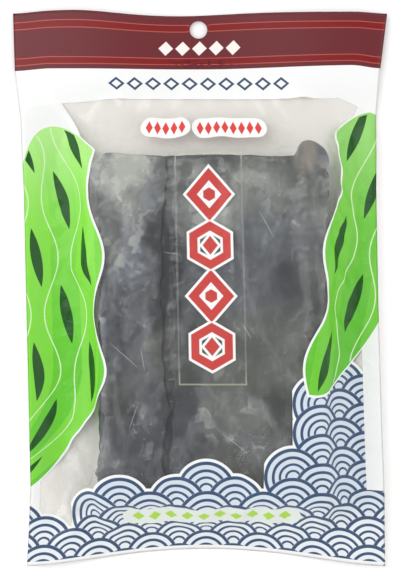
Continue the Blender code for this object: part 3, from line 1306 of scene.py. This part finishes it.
def chain(u, v, centre, pitch, count, half):
    """Distance to a row of lozenges: one lozenge repeated, and cut off past both ends."""
    from_middle = u - centre[0]
    _, beside = repeat(from_middle if count % 2 else from_middle + pitch / 2, pitch)
    past_end = abs(from_middle) - count * pitch / 2
    return lozenge(beside, v - centre[1], *half).most(past_end)


def ornaments(ink, u, v):
    """White lozenges on the header, outlined navy ones under it, and red ones on two bars."""
    ink.lay(chain(u, v, **HEADER_CHAIN).inside(), HEADER_WHITE, cover=0.99)
    outlined = abs(chain(u, v, **BAND_CHAIN) + OUTLINE_HALF) - OUTLINE_HALF
    ink.lay(outlined.inside(), BAND_NAVY, cover=0.97)
    for middle, count in RED_CHAINS:
        half_length = count * RED_CHAIN_PITCH / 2 + RED_BAR_PAST
        bar = pill(u - middle, v - RED_CHAIN_V, half_length, RED_BAR_HALF)
        ink.lay(bar.inside(), WHITE, cover=0.95)
        row = chain(u, v, (middle, RED_CHAIN_V), RED_CHAIN_PITCH, count, RED_LOZENGE)
        ink.lay(row.inside(), CHAIN_RED, cover=0.97)


def green_row(ink, u, v):
    """Yellow-green lozenges on a pale bar over the sea, a little tilted."""
    tilted = v - u * FOOT_TILT
    middle_u, middle_v = FOOT_CHAIN["centre"]
    bar = pill(u - middle_u, tilted - middle_v, *FOOT_BAR)
    ink.lay(bar.inside(), FOOT_PALE, cover=0.9)
    ink.lay(chain(u, tilted, **FOOT_CHAIN).inside(), FOOT_GREEN, cover=0.95)


print("lozenges in the longest chain:", BAND_CHAIN["count"])

# %% [markdown]
# The column has four red figures with a white edge, each a ring with the other shape in
# its middle. A fine green line frames them, faint along its sides and stronger at its
# ends.

# %% The column of figures
FIGURE_U, FIGURE_TOP, FIGURE_PITCH, FIGURES = 4.0, 40.5, 22.4, 4
FIGURE_EDGE, FIGURE_RING, FIGURE_RED = 1.15, 1.8, screen(202, 72, 68)
OUTER_LOZENGE, OUTER_HEXAGON = (10.2, 11.6), 9.2
INNER_LOZENGE, INNER_HEXAGON = (3.4, 4.2), 2.6
HAIRLINE_MIDDLE, HAIRLINE_HALF = 7.5, (14.8, 51.0)
HAIRLINE_WIDTH, HAIRLINE_GREEN = 0.35, screen(164, 196, 84)
# The line's strength along its sides, what its ends have more, and over what length.
SIDE_STRENGTH, END_STRENGTH, END_LENGTH = 0.2, 0.45, 9.0


def figures(ink, u, v):
    """Number n is the figure's place from the top. Even ones are lozenges, odd ones hexagons."""
    number, _ = repeat(v - FIGURE_TOP, FIGURE_PITCH)
    number = number.most(1.0 - FIGURES).least(0.0)
    x, y = u - FIGURE_U, v - FIGURE_TOP - number * FIGURE_PITCH
    second = odd(number)
    outer = lozenge(x, y, *OUTER_LOZENGE) * (1.0 - second) + hexagon(x, y, OUTER_HEXAGON) * second
    inner = hexagon(x, y, INNER_HEXAGON) * (1.0 - second) + lozenge(x, y, *INNER_LOZENGE) * second
    shape = (abs(outer + FIGURE_RING) - FIGURE_RING).least(inner)
    ink.lay((shape - FIGURE_EDGE).inside(), WHITE, cover=0.95)
    ink.lay(shape.inside(), FIGURE_RED, cover=0.97)


def hairline(ink, u, v):
    """The frame round the column: a band about the edge of a box."""
    from_middle = abs(v - HAIRLINE_MIDDLE)
    half_width, half_height = HAIRLINE_HALF
    box = (abs(u - FIGURE_U) - half_width).most(from_middle - half_height)
    strength = from_middle.between(half_height - END_LENGTH, half_height) * END_STRENGTH
    line = (abs(box) - HAIRLINE_WIDTH).inside(SOFT_EDGE) * (strength + SIDE_STRENGTH)
    ink.lay(line, HAIRLINE_GREEN, cover=0.6)


print("height of the column and its frame in mm:", FIGURES * FIGURE_PITCH, 2 * HAIRLINE_HALF[1])

# %% [markdown]
# ## The film's finish
#
# The mesh has the film's folds, and a bump on top of them has what is finer: soft
# crinkles, which are a noise folded about its middle, so that they have ridges. They
# fade in the header, where two layers are sealed flat together.
#
# Here and there a fold was pressed sharp and left a whitish crease, a straight line that
# thins out at both ends. Its white is also a painted glint of the film.

# %% Crinkles and creases
CRINKLE_FADE, FADE_SHARE = (62.0, 88.0), 0.9
RIDGE_NOISE, RIDGE_FOLD, RIDGE_SHARE = (9.0, 3.0), 3.0, 0.7
FINE_NOISE, FINE_SHARE = (30.0, 2.0), 0.3
FILM_BUMP = {"strength": 0.3, "distance": 1.2 * MM}
# whitish creases, whose white is also a painted glint of the film
CREASE_GLINTS = (
    # (u, v) of both ends in millimetres of flat film
    ((-42.0, -24.0), (-28.0, -37.0)),
    ((-28.0, -26.0), (-26.0, -38.5)),
    ((16.5, -15.0), (22.0, -24.0)),
    ((8.0, -66.0), (20.0, -75.0)),
    ((-34.0, -64.0), (-29.5, -52.0)),
    ((26.0, 34.0), (33.0, 21.0)),
    ((-17.5, 15.5), (-8.0, 13.5)),
)
CREASE_WIDTH, CREASE_SOFTNESS, CREASE_TIP = 0.9, 0.25, 0.1


def crinkle_height(paint, where, v):
    """Ridges (1 - RIDGE_FOLD |noise - 1/2|)^2 and a fine noise, less in the header."""
    ridge = 1.0 - abs(paint.noise(where, *RIDGE_NOISE) - 0.5) * RIDGE_FOLD
    height = ridge * ridge * RIDGE_SHARE + paint.noise(where, *FINE_NOISE) * FINE_SHARE
    return height * (1.0 - v.between(*CRINKLE_FADE) * FADE_SHARE)


def film_bump(paint, height):
    """The normal of film with this relief."""
    return paint.bumped(height, **FILM_BUMP)


def crease_glint_lines(u, v):
    """1 along the creases, whose white is partly a painted glint.

    The share t of the way along a line is the product of the way from its start with its
    direction, over its length squared. The distance to the line is the cross product
    over its length, and the line's width is t (1 - t) of the full one.
    """
    lines = []
    for (u0, v0), (u1, v1) in CREASE_GLINTS:
        du, dv = u1 - u0, v1 - v0
        length = math.hypot(du, dv)
        from_u, from_v = u - u0, v - v0
        t = (from_u * du + from_v * dv) * (1.0 / length**2)
        aside = abs(from_u * dv - from_v * du) * (1.0 / length)
        width = (t * (1.0 - t)).most(0.0) * CREASE_WIDTH
        lines.append((aside - width).inside(CREASE_SOFTNESS) * width.between(0.0, CREASE_TIP))
    return joined(lines)


print(len(CREASE_GLINTS), "sharp creases")

# %% [markdown]
# Clear film lets nearly all light through and mirrors the rest. A refracting shader would
# have to trace both of its faces, which is slow and dark for a sheet this thin, so the
# film is a mix of a transparent and a glossy shader. The mirror's share is a small
# constant and rises with the fifth power of how aslant the surface is seen, as it does
# on real film. A trace of white haze is mixed in, and more of it on the creases, where
# the white is partly a painted glint.

# %% Clear film
FILM_TINT = (0.965, 0.97, 0.965, 1)
HAZE_TINT = (0.9, 0.92, 0.92, 1)
MIRROR_SHARE, ASLANT_SHARE = 0.055, 0.9
HAZE_SHARE, CREASE_GLINT_HAZE = 0.012, 0.2
ASLANT_POWER, CLEAR_ROUGHNESS = 5.0, 0.22


def clear_film(paint, normal, creases):
    """Transparent and glossy film, with a little white haze that is stronger on the creases, as a
    painted glint.
    """
    through = paint.node("BsdfTransparent", {}, {"Color": FILM_TINT})
    gloss = {"Color": (1, 1, 1, 1), "Roughness": CLEAR_ROUGHNESS, "Normal": normal}
    mirror = paint.node("BsdfAnisotropic", {}, gloss)
    aslant = paint.node("LayerWeight", {}, {"Blend": 0.5, "Normal": normal}, out="Facing")
    mirrored = aslant.power(ASLANT_POWER) * ASLANT_SHARE + MIRROR_SHARE
    glossy = paint.node("MixShader", {}, {0: mirrored, 1: through, 2: mirror})
    haze = paint.node("BsdfDiffuse", {}, {"Color": HAZE_TINT})
    # the creases' extra haze is partly a painted glint
    haze_and_glints = creases * CREASE_GLINT_HAZE + HAZE_SHARE
    return paint.node("MixShader", {}, {0: haze_and_glints, 1: glossy, 2: haze})


print("share mirrored edge on:", round(MIRROR_SHARE + ASLANT_SHARE, 3))

# %% [markdown]
# The printed front: all the layers in their order, over the clear film. The UV map holds
# the flat film's place in units of 100 mm.

# %% Printed front
UV_UNIT = 100.0
BARE = (0.9, 0.9, 0.9, 1.0)
INK_GLOSS = {"Roughness": 0.3, "Specular IOR Level": 0.3}


def flat_place(paint):
    """The UV map, and its u and v in millimetres."""
    where = paint.node("UVMap", {"uv_map": "flat_film"})
    return where, *paint.parts(paint.scaled(where, UV_UNIT))


def printed_film():
    """The layers of ink from the lowest to the topmost, mixed with clear film by their cover."""
    paint = new_paint("printed_film")
    where, u, v = flat_place(paint)
    ink = Print(paint, BARE)
    for lower_layer in (hairline, frame_of_window, sea, both_borders, figures):
        lower_layer(ink, u, v)
    for upper_layer in (white_bands, header, ornaments, green_row):
        upper_layer(ink, u, v)
    normal = film_bump(paint, crinkle_height(paint, where, v))
    sockets = {"Base Color": ink.colour, "Normal": normal, **INK_GLOSS}
    inked = paint.node("BsdfPrincipled", {}, sockets)
    bare = clear_film(paint, normal, crease_glint_lines(u, v))
    return paint.finish(paint.node("MixShader", {}, {0: ink.cover, 1: bare, 2: inked}))


film_materials = [printed_film()]

# %% [markdown]
# The back is opaque cream film with the same header stripes. Its heat seals, at the
# header and at the foot, were pressed between ribbed jaws: the ribs are a sine of v,
# both in the bump and as painted shade, a slightly darker cream along their crests.

# %% Back film
CREAM, RIB_SHADE_CREAM = (0.93, 0.895, 0.845, 1), screen(222, 217, 208)
SEAL_TOP = -117.0
HEADER_SEAL_FROM, HEADER_SEAL_TO = BAND_EDGE + 1.0, HEADER_EDGE - 2.0
RIB_PITCH, RIB_HEIGHT, RIB_SHADE, RIB_SOFTNESS = 1.7, 0.08, 0.35, 0.5
BACK_ROUGHNESS = 0.32


def back_film():
    """Cream film with the header's ink, and ribs where both seals were pressed."""
    paint = new_paint("white_back_film")
    where, u, v = flat_place(paint)
    ink = Print(paint, CREAM)
    header(ink, u, v)
    seals = (HEADER_SEAL_FROM - v).most(v - HEADER_SEAL_TO).least(v - SEAL_TOP)
    ribs = (v * (2 * math.pi / RIB_PITCH)).sine() * seals.inside(RIB_SOFTNESS)
    # painted shade along the ribs' crests, so that they show in any light
    ink.lay(ribs.clamped() * RIB_SHADE, RIB_SHADE_CREAM, cover=1.0)
    normal = film_bump(paint, crinkle_height(paint, where, v) + ribs * RIB_HEIGHT)
    sockets = {"Base Color": ink.colour, "Roughness": BACK_ROUGHNESS, "Normal": normal}
    return paint.finish(paint.node("BsdfPrincipled", {}, sockets))


film_materials.append(back_film())

# %% [markdown]
# ## The pouch
#
# One piece: the relaxed front and the back share their border, so no side is open, and
# the hang hole goes through both. A Boolean could cut the hole, but on a surface this
# thin it is safer to pull the nearest ring of grid points onto the hole's circle, in
# both panels.
# Each point also carries its place on the flat film, which is the print's UV map.

# %% Cut the hang hole
HOLE_CENTRE = np.array([-0.7 * MM, 118.0 * MM])
HOLE_RADIUS = 4.0 * MM


def open_hole(points, faces):
    """Moves the rim's points onto the circle, along the way from its centre.

    Returns True for each face that goes, because it has a corner inside the circle.
    """
    inside = np.linalg.norm(points[:, :2] - HOLE_CENTRE, axis=1) < HOLE_RADIUS
    cut = inside[faces].any(axis=1)
    rim = np.unique(faces[cut])
    rim = rim[~inside[rim]]
    outward = points[rim, :2] - HOLE_CENTRE
    outward /= np.linalg.norm(outward, axis=1, keepdims=True)
    points[rim, :2] = HOLE_CENTRE + outward * HOLE_RADIUS
    print("points on the hole's rim:", len(rim), "and faces cut away:", int(cut.sum()))
    return cut


print("the hole is", 2 * HOLE_RADIUS / MM, "mm wide")

# %% [markdown]
# The front's faces take the printed material and the back's the cream one.

# %% The pouch
PRINT_HALF_WIDTH, PRINT_LENGTH = 85.3, 253.0


def pouch(materials):
    """Both panels as one shell of quads, with the flat film's place as its UV map."""
    upper, lower = shell_numbers(ROWS, COLUMNS)
    faces = np.concatenate([grid_faces(upper), grid_faces(lower, flip=True)])
    slots = np.repeat([0, 1], len(faces) // 2)
    points = shell_points(front, np.stack([plan_x, plan_y, back_z], axis=-1))
    flat = np.stack([across * PRINT_HALF_WIDTH, (along - 0.5) * PRINT_LENGTH], axis=-1) / UV_UNIT
    cut = open_hole(points, faces)

    piece = new_piece("film_pouch", points, faces[~cut], materials, slots[~cut])
    layer = piece.data.uv_layers.new(name="flat_film")
    corners = np.empty(len(piece.data.loops), np.int32)
    piece.data.loops.foreach_get("vertex_index", corners)
    layer.data.foreach_set("uv", shell_points(flat, flat)[corners].astype(np.float32).ravel())
    return piece


film = pouch(film_materials)
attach(film, "root")
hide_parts("bag")

# %% [markdown]
# ## Floor, light and camera
#
# The bag lies on a plain white table. The table glows slightly, as a lit sweep does, so
# that no grey shadow stands round the bag.

# %% Table
TABLE_HALF, TABLE_TOP = 3.0, -0.4 * MM
TABLE_WHITE, TABLE_ROUGHNESS, TABLE_GLOW = (0.97, 0.97, 0.97, 1), 0.9, 0.1


def table_top():
    """Matt white with a slight glow."""
    paint = new_paint("table")
    sockets = {"Base Color": TABLE_WHITE, "Roughness": TABLE_ROUGHNESS}
    glow = {"Emission Color": TABLE_WHITE, "Emission Strength": TABLE_GLOW}
    return paint.finish(paint.node("BsdfPrincipled", {}, {**sockets, **glow}))


corners = np.array([[-1, -1, 0], [1, -1, 0], [1, 1, 0], [-1, 1, 0]]) * TABLE_HALF
corners[:, 2] = TABLE_TOP
new_piece("floor", corners, np.array([[0, 1, 2, 3]]), [table_top()])

# %% [markdown]
# Soft light comes from all round: a pale world that is dimmer overhead, where the glossy
# film would mirror it into the camera, one small area light from above and a large one
# from each side.

# %% Lights
LIGHTS = (
    # name, place, side of the square in metres, watts
    ("overhead", (-0.40, 0.45, 1.25), 0.7, 3.0),
    ("left", (-1.1, 0.3, 1.0), 1.2, 5.5),
    ("right", (1.1, 0.0, 1.1), 1.2, 3.5),
)
SKY_LEVEL, SKY_OVERHEAD, SKY_RISE = 1.08, 0.46, (0.3, 1.0)


def soft_light(name, place, size, power):
    """An area light that faces the origin."""
    data = bpy.data.lights.new(name, "AREA")
    data.size = size
    data.energy = power
    light = bpy.data.objects.new(name, data)
    light.location = place
    aim = -light.location
    light.rotation_euler = aim.to_track_quat("-Z", "Y").to_euler()
    bpy.context.scene.collection.objects.link(light)


def sky():
    """A plain world whose strength goes from level to overhead as the direction rises."""
    paint = Paint(bpy.data.worlds.new("studio"))
    direction = paint.node("TexCoord", out="Generated")
    rise = paint.node("SeparateXYZ", {}, {"Vector": direction}, out="Z")
    strength = rise.between(*SKY_RISE) * (SKY_OVERHEAD - SKY_LEVEL) + SKY_LEVEL
    background = paint.node("Background", {}, {"Color": (1, 1, 1, 1), "Strength": strength})
    return paint.finish(background, "OutputWorld")


for name, place, size, power in LIGHTS:
    soft_light(name, place, size, power)
bpy.context.scene.world = sky()
bpy.context.scene.view_settings.view_transform = "Standard"

# %% [markdown]
# The camera looks straight down with a long lens, from the height at which the bag's
# edges just fit the view.

# %% Camera
LENS, SENSOR = 120.0, 36.0
VIEW_HEIGHT = 262.3 * MM
EDGE_HEIGHT = 2 * MM
VIEW_SHIFT = 0.4 * MM


def camera():
    """The distance is view height x lens / sensor, above the height of the bag's edges."""
    data = bpy.data.cameras.new("camera")
    data.lens = LENS
    data.sensor_fit = "VERTICAL"
    data.sensor_height = SENSOR
    distance = VIEW_HEIGHT * LENS / SENSOR
    eye = bpy.data.objects.new("camera", data)
    eye.location = (0.0, VIEW_SHIFT, distance + EDGE_HEIGHT)
    bpy.context.scene.collection.objects.link(eye)
    bpy.context.scene.camera = eye
    print("camera distance in m:", round(distance, 3))


camera()

# %% [markdown]
# ## The last update
#
# At the end the view layer is brought up to date.

# %% Update the view layer
bpy.context.view_layer.update()
